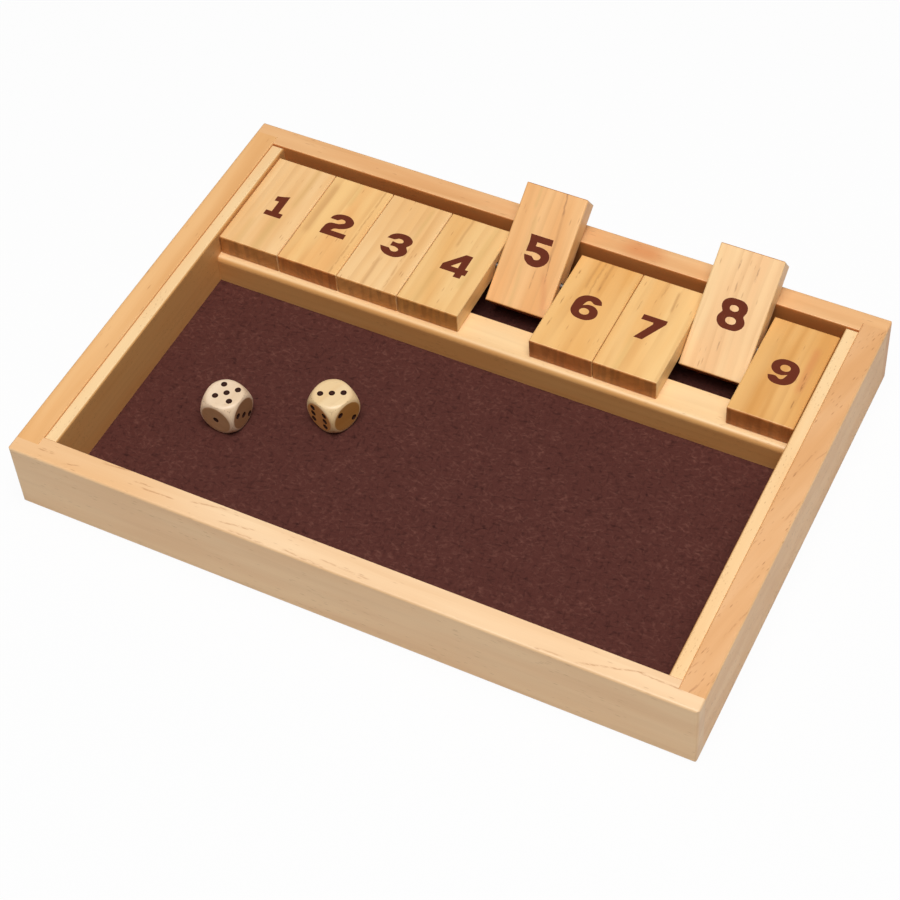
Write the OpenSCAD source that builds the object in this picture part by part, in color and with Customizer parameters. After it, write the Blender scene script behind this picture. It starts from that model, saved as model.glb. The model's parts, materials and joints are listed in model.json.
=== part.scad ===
// Shut the box: a low wooden box with a felt-lined throwing tray, a row of nine numbered
// tiles that turn on one steel rod, and two dice. Millimetres, +Z up, front towards -Y.
// The origin lies on the table, below the middle of the whole game's bounding box.

/* [Tiles] */
// Width of one tile
tile_w = 27.8; // [24:0.1:32]
// Length of one tile, front to back
tile_len = 52.4; // [50:0.2:64]
// Thickness of one tile
tile_t = 9.75; // [7:0.25:10]
// Rounding of a tile's edges
tile_edge = 0.7; // [0.3:0.1:1.5]
// Gap between two tiles that lie against each other
tile_gap = 0.3; // [0.2:0.05:0.6]
// Distance from a tile's rear end to the middle of its rod hole
hole_setback = 15.5; // [12:0.1:17]
// How far the rod hole lies below the middle of a tile's thickness
hole_drop = 0.4; // [0:0.1:2]

/* [Rod] */
// Diameter of the steel rod
rod_d = 2.5; // [2:0.1:4]
// Play all round the rod in a tile's hole
tile_play = 0.1; // [0.02:0.01:0.1]
// Play all round the rod in a strip's hole
strip_play = 0.02; // [0.01:0.01:0.05]
// Gap between each end of the rod and the side rail beyond it
rod_end_gap = 0.2; // [0.1:0.1:0.6]

/* [Rails] */
// Thickness of the four rails
rail_t = 10.4; // [9:0.1:14]
// Height of the rails above the tops of the lying tiles
rim = 2.2; // [1.6:0.2:6]
// Wood left outside each corner rabbet, in the front and back rails
lap_t = 6.3; // [5:0.1:7.5]
// Rounding of the box's upright corners
corner_r = 1.6; // [0.5:0.1:3]
// Rounding of the rails' outer top edges
top_edge = 1; // [0.4:0.1:2]
// Rounding of the rails' inner top edges
inner_edge = 0.5; // [0.2:0.1:1]
// Rounding of the rails' outer bottom edges
foot_edge = 1; // [0.5:0.1:3]

/* [Tray] */
// Depth of the throwing tray, from the front rail to the ledge
tray_d = 120.8; // [90:0.2:180]
// Thickness of the base panel
panel_t = 3; // [2.5:0.5:4]
// Height of the base panel's underside above the table
panel_lift = 3.3; // [3:0.1:6]
// Depth of the groove in the rails that holds the base panel
groove_d = 3.5; // [2:0.5:4]
// Gap between the base panel's edge and the bottom of the groove
groove_gap = 0.4; // [0.1:0.1:1]
// Thickness of the felt
felt_t = 1.5; // [1:0.1:2]

/* [Ledge and strips] */
// Depth of the ledge that the tiles' front ends lie on
ledge_w = 15.9; // [10:0.1:18]
// Rounding of the ledge's front top edge
ledge_nose = 2.5; // [0.5:0.1:4]
// Rounding of the ledge's back top edge
ledge_back = 0.6; // [0.3:0.1:2]
// How far the ledge stands out in front of the tiles
ledge_lip = 3.5; // [1:0.1:6]
// Gap between the tiles' rear ends and the back rail
tail_gap = 4.5; // [2:0.1:8]
// Gap between a turning tile's rear end and the felt
swing_gap = 1.6; // [0.6:0.1:4]
// Thickness of the strips inside the side rails
strip_t = 5.5; // [4:0.1:8]
// How far the strips' tops lie below the rails' tops
strip_drop = 0.5; // [0:0.1:1.5]
// Rounding of the strips' inner top edges
strip_edge = 1; // [0.3:0.1:2]
// Rounding of the strips' top corners at the back
strip_end = 1.2; // [0.3:0.1:2]

/* [Raised tiles] */
// Gap between a raised tile and the edge of the back rail that it leans on
lean_gap = 0.15; // [0.05:0.05:0.4]

/* [Dice] */
// Width of a die across its flat faces
die_w = 16; // [14:0.5:18]
// Diameter of the ball that a die's corners are turned to
die_ball = 21.8; // [20.5:0.1:24]
// Width of a pip
pip_d = 2.6; // [1.6:0.1:3]
// Depth of a pip
pip_depth = 0.8; // [0.3:0.1:1.2]
// Distance between two pips along a die's edge
pip_pitch = 6.65; // [5:0.05:8]
// Left-hand die: distance of its middle from the left strip
left_die_x = 42.6; // [15:0.1:60]
// Left-hand die: distance of its middle from the front rail
left_die_y = 54.9; // [15:0.1:75]
// Left-hand die: turn about the vertical
left_die_turn = -2.9; // [-45:0.1:45]
// Right-hand die: distance of its middle from the left strip
right_die_x = 82; // [80:0.1:200]
// Right-hand die: distance of its middle from the front rail
right_die_y = 72.7; // [15:0.1:75]
// Right-hand die: turn about the vertical
right_die_turn = -18.4; // [-45:0.1:45]

/* [Hidden] */
tile_count = 9;
// The tiles that stand flipped up
raised = [5, 8];
// Extra play before each tile in turn and after the last, where the tiles have worked apart
row_play = [0, 0, 0, 0, 1.4, 2.25, 0, 0, 1.05, 0.3];
TILES = [for (n = [1 : tile_count]) str("tile_", n)];

rail_wood = [0.90, 0.71, 0.50];
side_wood = [0.91, 0.70, 0.47];
strip_wood = [0.96, 0.82, 0.60];
panel_wood = [0.84, 0.69, 0.50];
die_wood = [0.93, 0.83, 0.68];
tile_woods = [
    [0.95, 0.79, 0.57],
    [0.93, 0.72, 0.44],
    [0.94, 0.77, 0.52],
    [0.95, 0.78, 0.51],
    [0.94, 0.74, 0.52],
    [0.92, 0.70, 0.42],
    [0.93, 0.73, 0.45],
    [0.95, 0.78, 0.59],
    [0.91, 0.68, 0.39]
];
felt_brown = [0.33, 0.18, 0.16];
rod_steel = [0.74, 0.74, 0.76];

// A cut runs past the wood that it leaves by this much
past = 1;

function total(list, count) = count < 1 ? 0 : list[count - 1] + total(list, count - 1);

// Widths, from the left outer face
row_w = tile_count * tile_w + (tile_count + 1) * tile_gap + total(row_play, tile_count + 1);
row_x = rail_t + strip_t;
box_w = row_w + 2 * row_x;

// Depths, from the front outer face
ledge_y = rail_t + tray_d;
tile_y = ledge_y + ledge_lip;
tail_y = tile_y + tile_len;
back_y = tail_y + tail_gap;
box_d = back_y + rail_t;
axis_y = tail_y - hole_setback;

// Wood over and under the middle of a tile's rod hole
over = tile_t / 2 + hole_drop;
under = tile_t / 2 - hole_drop;

// Heights, from the table: the ledge lifts the tiles clear of the felt as their tails turn
swing_r = norm([hole_setback, over]);
panel_z = panel_lift + panel_t;
felt_z = panel_z + felt_t;
ledge_h = swing_r + swing_gap - under;
ledge_z = felt_z + ledge_h;
axis_z = ledge_z + under;
box_h = ledge_z + tile_t + rim;

// A raised tile leans on the rounding of the back rail's inner top edge
edge_at = [tail_gap + hole_setback + inner_edge, rim + over - inner_edge];
lean = atan2(edge_at[1], edge_at[0]) + asin((over + inner_edge + lean_gap) / norm(edge_at));
flip = 180 - lean;

// The raised tiles reach past the back rail, so the whole game is a little deeper than the box
nose_run = (tile_len - hole_setback - tile_edge) * cos(lean);
reach = axis_y + nose_run + (over - tile_edge) * sin(lean) + tile_edge;
whole_d = max(box_d, reach);

pip_ball_r = (pow(pip_d / 2, 2) + pow(pip_depth, 2)) / (2 * pip_depth);

$fn = 64;

function is_raised(n) = len([for (r = raised) if (r == n) r]) > 0;
function tile_x(n) = row_x + (n - 1) * tile_w + n * tile_gap + total(row_play, n);

// Moves a piece from the box's front left corner to the origin
module place() {
    translate([-box_w / 2, -whole_d / 2, 0]) children();
}

// Rectangle with its own rounding at each corner: lower left, lower right, upper right, upper left
module eased(w, h, r) {
    polygon([
        [r[0], 0], [w - r[1], 0], [w, r[1]], [w, h - r[2]],
        [w - r[2], h], [r[3], h], [0, h - r[3]], [0, r[0]]
    ]);
    at = [[r[0], r[0]], [w - r[1], r[1]], [w - r[2], h - r[2]], [r[3], h - r[3]]];
    for (i = [0 : 3]) {
        if (r[i] > 0) {
            translate(at[i]) circle(r = r[i]);
        }
    }
}

// Extrudes an outline drawn across the width and height, from the front towards the back
module run_back(d) {
    translate([0, d, 0]) rotate([90, 0, 0]) linear_extrude(d) children();
}

// Extrudes an outline drawn across the depth and height, from left to right
module run_right(w) {
    rotate([90, 0, 90]) linear_extrude(w) children();
}

// Block with every edge rounded
module eased_block(w, d, h, r) {
    all_r = [r, r, r, r];
    intersection() {
        linear_extrude(h) eased(w, d, all_r);
        run_back(d) eased(w, h, all_r);
        run_right(w) eased(d, h, all_r);
    }
}

// The box's outer form, solid, with its eased corners, top and bottom
module envelope() {
    side_r = [foot_edge, foot_edge, top_edge, top_edge];
    intersection() {
        linear_extrude(box_h) eased(box_w, box_d, [corner_r, corner_r, corner_r, corner_r]);
        run_back(box_d) eased(box_w, box_h, side_r);
        run_right(box_w) eased(box_d, box_h, side_r);
    }
}

// The room that the grooves leave for the base panel
module panel_room() {
    inset = rail_t - groove_d;
    translate([inset, inset, panel_lift]) cube([box_w - 2 * inset, box_d - 2 * inset, panel_t]);
}

// Cut at the end of the front or back rail that a side rail's end sits in
module rabbet(x) {
    translate([x, lap_t, -past]) cube([rail_t + past, rail_t, box_h + 2 * past]);
}

// Front rail in its place; the back rail is its mirror image
module cross_rail() {
    difference() {
        intersection() {
            envelope();
            run_right(box_w) eased(rail_t, box_h, [0, 0, inner_edge, 0]);
        }
        rabbet(-past);
        rabbet(box_w - rail_t);
        panel_room();
    }
}

// Left rail in its place; the right rail is its mirror image
module side_rail() {
    difference() {
        intersection() {
            envelope();
            translate([0, lap_t, 0]) {
                run_back(box_d - 2 * lap_t) eased(rail_t, box_h, [0, 0, inner_edge, 0]);
            }
        }
        panel_room();
    }
}

// Swaps left and right about the middle of the box
module swap_sides() {
    translate([box_w, 0, 0]) mirror([1, 0, 0]) children();
}

// Swaps front and back about the middle of the box
module swap_ends() {
    translate([0, box_d, 0]) mirror([0, 1, 0]) children();
}

module front_rail() {
    color(rail_wood) place() cross_rail();
}

module back_rail() {
    color(rail_wood) place() swap_ends() cross_rail();
}

module left_rail() {
    color(side_wood) place() side_rail();
}

module right_rail() {
    color(side_wood) place() swap_sides() side_rail();
}

// Strip beside the left rail, with the hole that carries the rod's end
module strip() {
    strip_h = box_h - strip_drop - panel_z;
    strip_d = back_y - rail_t;
    difference() {
        translate([rail_t, rail_t, panel_z]) {
            intersection() {
                run_back(strip_d) eased(strip_t, strip_h, [0, 0, strip_edge, inner_edge]);
                run_right(strip_t) eased(strip_d, strip_h, [0, 0, strip_end, inner_edge]);
            }
        }
        rod_hole(rail_t, strip_t, rod_d / 2 + strip_play);
    }
}

// Hole along the rod's axis, through a piece that starts at x and is w wide
module rod_hole(x, w, r) {
    translate([x - past, axis_y, axis_z]) {
        rotate([0, 90, 0]) cylinder(r = r, h = w + 2 * past);
    }
}

module left_strip() {
    color(strip_wood) place() strip();
}

module right_strip() {
    color(strip_wood) place() swap_sides() strip();
}

// Bar across the box that parts the tray from the well and holds up the tiles' front ends
module ledge() {
    color(strip_wood) place() translate([row_x, ledge_y, felt_z]) {
        run_right(row_w) eased(ledge_w, ledge_h, [0, 0, ledge_back, ledge_nose]);
    }
}

module base_panel() {
    inset = rail_t - groove_d + groove_gap;
    color(panel_wood) place() translate([inset, inset, panel_lift]) {
        cube([box_w - 2 * inset, box_d - 2 * inset, panel_t]);
    }
}

// Felt on the base panel, under the ledge as well, between the strips
module felt() {
    color(felt_brown) place() translate([row_x, rail_t, panel_z]) {
        cube([row_w, back_y - rail_t, felt_t]);
    }
}

// Rod that all the tiles turn on, from side rail to side rail
module hinge_rod() {
    color(rod_steel) place() translate([rail_t + rod_end_gap, axis_y, axis_z]) {
        rotate([0, 90, 0]) cylinder(d = rod_d, h = box_w - 2 * rail_t - 2 * rod_end_gap);
    }
}

// Tile with its rod hole on the X axis and its front end towards -Y
module tile_blank() {
    difference() {
        translate([0, hole_setback - tile_len, -under]) {
            eased_block(tile_w, tile_len, tile_t, tile_edge);
        }
        translate([-past, 0, 0]) {
            rotate([0, 90, 0]) cylinder(r = rod_d / 2 + tile_play, h = tile_w + 2 * past);
        }
    }
}

module tile(n) {
    color(tile_woods[n - 1]) place() translate([tile_x(n), axis_y, axis_z]) {
        rotate([is_raised(n) ? -flip : 0, 0, 0]) tile_blank();
    }
}

// Pips of one face, as balls that sink into a face at z = 0
module face_pips(count) {
    step = pip_pitch / 2;
    middle = count % 2 == 1 ? [[0, 0]] : [];
    slant = count > 1 ? [[-step, -step], [step, step]] : [];
    counter = count > 3 ? [[-step, step], [step, -step]] : [];
    sides = count == 6 ? [[-step, 0], [step, 0]] : [];
    for (at = concat(middle, slant, counter, sides)) {
        translate([at[0], at[1], pip_ball_r - pip_depth]) sphere(r = pip_ball_r);
    }
}

// Die with its middle at the origin. Each face: how it is turned to, its count, its own turn
module die(faces) {
    difference() {
        intersection() {
            cube(die_w, center = true);
            sphere(d = die_ball);
        }
        for (face = faces) {
            rotate(face[0]) translate([0, 0, die_w / 2]) rotate(face[2]) face_pips(face[1]);
        }
    }
}

// How a face that looks up is turned to each of the six sides
up = [0, 0, 0];
down = [180, 0, 0];
ahead = [90, 0, 0];
behind = [90, 0, 180];
rightward = [90, 0, 90];
leftward = [90, 0, -90];

module place_die(x, y, turn) {
    color(die_wood) place() translate([row_x + x, rail_t + y, felt_z + die_w / 2]) {
        rotate(turn) children();
    }
}

module left_die() {
    place_die(left_die_x, left_die_y, left_die_turn) {
        die([
            [up, 5, 0], [down, 2, 0], [ahead, 1, 0],
            [behind, 6, 0], [rightward, 3, 90], [leftward, 4, 0]
        ]);
    }
}

module right_die() {
    place_die(right_die_x, right_die_y, right_die_turn) {
        die([
            [up, 3, 0], [down, 4, 0], [ahead, 6, 0],
            [behind, 1, 0], [rightward, 2, 90], [leftward, 5, 0]
        ]);
    }
}

front_rail();
back_rail();
left_rail();
right_rail();
left_strip();
right_strip();
ledge();
base_panel();
felt();
hinge_rod();
for (n = [1 : tile_count]) {
    tile(n);
}
left_die();
right_die();
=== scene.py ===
"""Looks of a shut the box game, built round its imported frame.

A wooden box with a felt-lined tray, nine numbered tiles on one steel rod, and two dice.
Metres, +Z up, the front towards -Y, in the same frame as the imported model.
"""

import json
import logging
import math
from dataclasses import dataclass, replace
from enum import Enum
from typing import Any, Mapping, Sequence, Union

import bpy
from mathutils import Euler, Matrix, Vector


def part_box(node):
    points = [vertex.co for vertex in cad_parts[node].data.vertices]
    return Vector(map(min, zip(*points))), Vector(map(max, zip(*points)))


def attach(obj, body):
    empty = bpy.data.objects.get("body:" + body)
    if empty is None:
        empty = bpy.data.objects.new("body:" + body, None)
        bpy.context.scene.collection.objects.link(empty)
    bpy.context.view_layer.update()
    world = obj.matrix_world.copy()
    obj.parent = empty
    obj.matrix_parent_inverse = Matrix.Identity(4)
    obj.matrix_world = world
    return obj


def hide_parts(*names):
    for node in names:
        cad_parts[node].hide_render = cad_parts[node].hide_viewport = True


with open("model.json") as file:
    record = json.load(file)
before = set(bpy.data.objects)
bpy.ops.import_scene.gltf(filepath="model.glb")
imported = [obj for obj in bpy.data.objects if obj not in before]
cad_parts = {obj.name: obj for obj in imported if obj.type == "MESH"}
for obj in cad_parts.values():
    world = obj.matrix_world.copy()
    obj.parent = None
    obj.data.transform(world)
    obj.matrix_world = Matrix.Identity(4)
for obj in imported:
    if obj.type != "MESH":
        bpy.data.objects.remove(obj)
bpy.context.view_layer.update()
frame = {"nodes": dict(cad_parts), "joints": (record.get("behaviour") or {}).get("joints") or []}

log = logging.getLogger("shut_the_box")

MM = 0.001
PER_MM = 1000.0

Colour = tuple[float, float, float]
Triple = tuple[float, float, float]
Amount = Union[float, "Reading"]

WHITE = (1.0, 1.0, 1.0, 1.0)
SEED_STEP: Triple = (57.3, 131.7, 83.9)


def linear(colour: Colour) -> tuple[float, float, float, float]:
    """Turns a colour in sRGB, 0 to 255, into the linear one that a shader takes.

    Args:
        colour: Red, green and blue as a paint chart gives them. Where one colour multiplies
            another, a part above 255 lightens it.

    Returns:
        Linear red, green, blue, and an alpha of 1.
    """
    parts = [c / 255 for c in colour]
    lit = [p / 12.92 if p <= 0.04045 else ((p + 0.055) / 1.055) ** 2.4 for p in parts]
    return (lit[0], lit[1], lit[2], 1.0)


class Reading:
    """One socket of a shader, which takes part in Python sums."""

    def __init__(self, board: "Board", socket: bpy.types.NodeSocket) -> None:
        """Wraps a socket of the board's tree."""
        self.board = board
        self.socket = socket

    def __add__(self, other: Amount) -> "Reading":
        """Gives self + other."""
        return self.board.sum("ADD", self, other)

    def __radd__(self, other: Amount) -> "Reading":
        """Gives other + self."""
        return self.board.sum("ADD", other, self)

    def __sub__(self, other: Amount) -> "Reading":
        """Gives self - other."""
        return self.board.sum("SUBTRACT", self, other)

    def __rsub__(self, other: Amount) -> "Reading":
        """Gives other - self."""
        return self.board.sum("SUBTRACT", other, self)

    def __mul__(self, other: Amount) -> "Reading":
        """Gives self times other."""
        return self.board.sum("MULTIPLY", self, other)

    def __rmul__(self, other: Amount) -> "Reading":
        """Gives other times self."""
        return self.board.sum("MULTIPLY", other, self)

    def __truediv__(self, other: Amount) -> "Reading":
        """Gives self over other."""
        return self.board.sum("DIVIDE", self, other)

    def __pow__(self, other: Amount) -> "Reading":
        """Gives self to the power of other."""
        return self.board.sum("POWER", self, other)

    def __abs__(self) -> "Reading":
        """Gives self without its sign."""
        return self.board.sum("ABSOLUTE", self)

    def part(self) -> "Reading":
        """Gives what is left above the whole number."""
        return self.board.sum("FRACT", self)

    def rise(self, low: float, high: float) -> "Reading":
        """Gives 0 below low and 1 above high, with a smooth climb between them.

        Args:
            low: Where the climb starts. It may lie above high, and then the value falls.
            high: Where the climb ends.

        Returns:
            The climb as a value from 0 to 1.
        """
        settings = {"interpolation_type": "SMOOTHSTEP"}
        return self.board.node("ShaderNodeMapRange", settings, {0: self, 1: low, 2: high})


class Board:
    """A shader's node tree, and the one way in which nodes are added to it."""

    def __init__(self, tree: bpy.types.NodeTree) -> None:
        """Takes over a tree and empties it."""
        self.tree = tree
        tree.nodes.clear()

    def node(
        self,
        kind: str,
        settings: Mapping[str, Any] | None = None,
        inputs: Mapping[int | str, Any] | None = None,
        output: int | str = 0,
    ) -> Reading:
        """Adds a node, sets it up and fills its sockets.

        Args:
            kind: The node's type.
            settings: Its own settings, which are set first.
            inputs: Values or readings, by the socket's name or number.
            output: The socket that the reading is taken from.

        Returns:
            The reading of that output.
        """
        made = self.tree.nodes.new(kind)
        for name, value in (settings or {}).items():
            setattr(made, name, value)
        for name, value in (inputs or {}).items():
            if isinstance(value, Reading):
                self.tree.links.new(value.socket, made.inputs[name])
            else:
                made.inputs[name].default_value = value
        return Reading(self, made.outputs[output] if made.outputs else None)

    def sum(self, operation: str, *amounts: Amount) -> Reading:
        """Adds a Math node on one or two amounts."""
        return self.node("ShaderNodeMath", {"operation": operation}, dict(enumerate(amounts)))

    def vector(self, operation: str, *amounts: Any, output: int = 0) -> Reading:
        """Adds a Vector Math node on one or two vectors."""
        settings = {"operation": operation}
        return self.node("ShaderNodeVectorMath", settings, dict(enumerate(amounts)), output)

    def split(self, vector: Reading) -> tuple[Reading, Reading, Reading]:
        """Takes a vector apart.

        Args:
            vector: The vector.

        Returns:
            Its three parts.
        """
        apart = self.node("ShaderNodeSeparateXYZ", inputs={0: vector})
        outputs = apart.socket.node.outputs
        return tuple(Reading(self, outputs[i]) for i in range(3))

    def mix(self, share: Amount, first: Any, second: Any, blend: str = "MIX") -> Reading:
        """Mixes two colours.

        Args:
            share: How much of the second colour there is, from 0 to 1.
            first: A reading or a linear colour.
            second: A reading or a linear colour.
            blend: The kind of mix.

        Returns:
            The mixed colour.
        """
        settings = {"data_type": "RGBA", "blend_type": blend, "clamp_factor": True}
        return self.node("ShaderNodeMix", settings, {0: share, 6: first, 7: second}, output=2)

    def noise(self, at: Reading, pitch: Sequence[float], detail: float = 2.0) -> Reading:
        """Adds a noise whose lumps are about as long each way as pitch says.

        Args:
            at: Where the noise is read, in millimetres.
            pitch: Length of a lump each way, in millimetres.
            detail: How many finer noises are added.

        Returns:
            A value from 0 to 1.
        """
        inputs = {"Vector": self.vector("DIVIDE", at, tuple(pitch)), "Scale": 1.0, "Detail": detail}
        return self.node("ShaderNodeTexNoise", inputs=inputs)

    def bump(self, height: Reading, depth: float) -> Reading:
        """Turns a height from 0 to 1 into a surface normal, where 1 stands depth metres high."""
        inputs = {"Strength": 1.0, "Distance": depth, "Height": height}
        return self.node("ShaderNodeBump", inputs=inputs)

    def here(self) -> Reading:
        """Gives the object's own coordinates in millimetres."""
        place = self.node("ShaderNodeTexCoord", output="Object")
        inputs = {"Vector": place, "Scale": (PER_MM,) * 3}
        return self.node("ShaderNodeMapping", {"vector_type": "POINT"}, inputs)

    def moved(self, place: Reading, seed: int) -> Reading:
        """Moves the place that noises are read at, so that every seed has a figure of its own."""
        return self.vector("ADD", place, tuple(seed * step for step in SEED_STEP))

    def surface(self, inputs: Mapping[str, Any]) -> None:
        """Ends a material in one Principled shader with these inputs."""
        shader = self.node("ShaderNodeBsdfPrincipled", inputs=inputs)
        self.node("ShaderNodeOutputMaterial", inputs={"Surface": shader})


def new_material(name: str) -> tuple[bpy.types.Material, Board]:
    """Makes an empty material.

    Args:
        name: The material's name.

    Returns:
        The material and the board that its nodes go on.
    """
    material = bpy.data.materials.new(name)
    material.use_nodes = True
    return material, Board(material.node_tree)


ACROSS, LENGTHWISE = (1.0, 0.0, 0.0), (0.0, 1.0, 0.0)

# How squarely a face has to look one way, as a cosine: from not at all to fully.
BLUNT, STRICT = (0.4, 0.8), (0.97, 0.998)


class Along(Enum):
    """The way that a piece's grain runs while it lies at rest."""

    DEPTH = 0.0
    WIDTH = 90.0


@dataclass(frozen=True)
class Grain:
    """How a board was cut: where its own axes lie in the object's frame.

    Its lean is in radians and its heading in degrees. A blunt grain counts a face's rounded
    edges as part of it.
    """

    run: Along = Along.DEPTH
    corner: Triple = (0.0, 0.0, 0.0)
    lean: float = 0.0
    heading: float = 0.0
    blunt: bool = True

    def turn(self) -> Euler:
        """Gives the turn from the object's frame to the board's own."""
        return Euler((self.lean, 0.0, math.radians(self.run.value - self.heading)))

    def axis(self, way: Triple) -> Vector:
        """Gives one of the board's own directions in the object's frame."""
        return self.turn().to_matrix().inverted() @ Vector(way)

    def place(self, board: Board) -> Reading:
        """Gives the place on a piece in its own axes.

        Args:
            board: The board that the nodes go on.

        Returns:
            Millimetres across, along and deep from the corner.
        """
        here = board.node("ShaderNodeTexCoord", output="Object")
        back = -(self.turn().to_matrix() @ Vector(self.corner)) * PER_MM
        inputs = {
            "Vector": here,
            "Location": tuple(back),
            "Rotation": tuple(self.turn()),
            "Scale": (PER_MM,) * 3,
        }
        return board.node("ShaderNodeMapping", {"vector_type": "POINT"}, inputs)

    def looks(self, board: Board, way: Triple, both: bool = True) -> Reading:
        """Gives where the surface looks along one of the board's own directions.

        Args:
            board: The board that the nodes go on.
            way: The direction, in the board's own axes.
            both: Whether the opposite direction counts as well.

        Returns:
            1 on such faces and 0 on the others.
        """
        facing = board.node("ShaderNodeTexCoord", output="Normal")
        along = board.vector("DOT_PRODUCT", facing, tuple(self.axis(way)), output=1)
        along = abs(along) if both else along
        return along.rise(*(BLUNT if self.blunt else STRICT))


# In millimetres, as all of a streak's own lengths are.
HAIRLINE = 1.0
HAIR_BREAKS = (0.4, 2.5, 0.4)
TAPER = 2.0
BEND_LENGTH = 14.0


@dataclass(frozen=True)
class Streak:
    """A line or wash of another colour that runs with the grain, in the board's millimetres.

    It leans by its slope and wanders by its sway, once in about a bend's length. One that is
    narrower than a hairline is broken up along its way.
    """

    across: float
    width: float
    depth: float
    start: float = -80.0
    stop: float = 80.0
    slope: float = 0.0
    sway: float = 0.6
    bend: float = BEND_LENGTH
    tone: Colour = (168, 112, 58)

    def mask(self, board: Board, across: Reading, along: Reading, at: Reading) -> Reading:
        """Gives how much of the streak shows at each place.

        Args:
            board: The board that the nodes go on.
            across: Distance across the board.
            along: Distance along the grain.
            at: The board's coordinates, moved by its seed.

        Returns:
            A value from 0 to depth.
        """
        wander = (board.noise(at, (500.0, self.bend, 500.0), 1.0) - 0.5) * (2 * self.sway)
        middle = along * self.slope + self.across + wander
        line = abs(across - middle).rise(self.width, 0.0)
        if self.width < HAIRLINE:
            line = line * board.noise(at, HAIR_BREAKS, 2.0).rise(0.34, 0.56)
        taper = TAPER + self.width
        ends = along.rise(self.start - taper, self.start) * along.rise(self.stop + taper, self.stop)
        return line * ends * self.depth


def veins(
    tone: Colour, sway: float, *rows: Sequence[float], bend: float = BEND_LENGTH
) -> tuple[Streak, ...]:
    """Makes fine streaks of one kind.

    Args:
        tone: Their colour.
        sway: How far they wander.
        rows: For each its place across, width, depth, start, stop and, if it leans, slope.
        bend: The length that they wander in.

    Returns:
        The streaks, in the order of the rows.
    """
    return tuple(Streak(*row, sway=sway, bend=bend, tone=tone) for row in rows)


END_TONE: Colour = (214, 170, 128)

# How long the lumps of each noise in a wood are across, along and deep, in millimetres.
FIBRE = (0.55, 26.0, 0.55)
WASH = (9.0, 70.0, 9.0)
END_LINE = (2.4, 60.0, 18.0)
RING_BEND = (16.0, 75.0, 16.0)
RING_STRENGTH = (7.0, 45.0, 7.0)
PORE_CROWD = (7.0, 24.0, 7.0)


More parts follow.
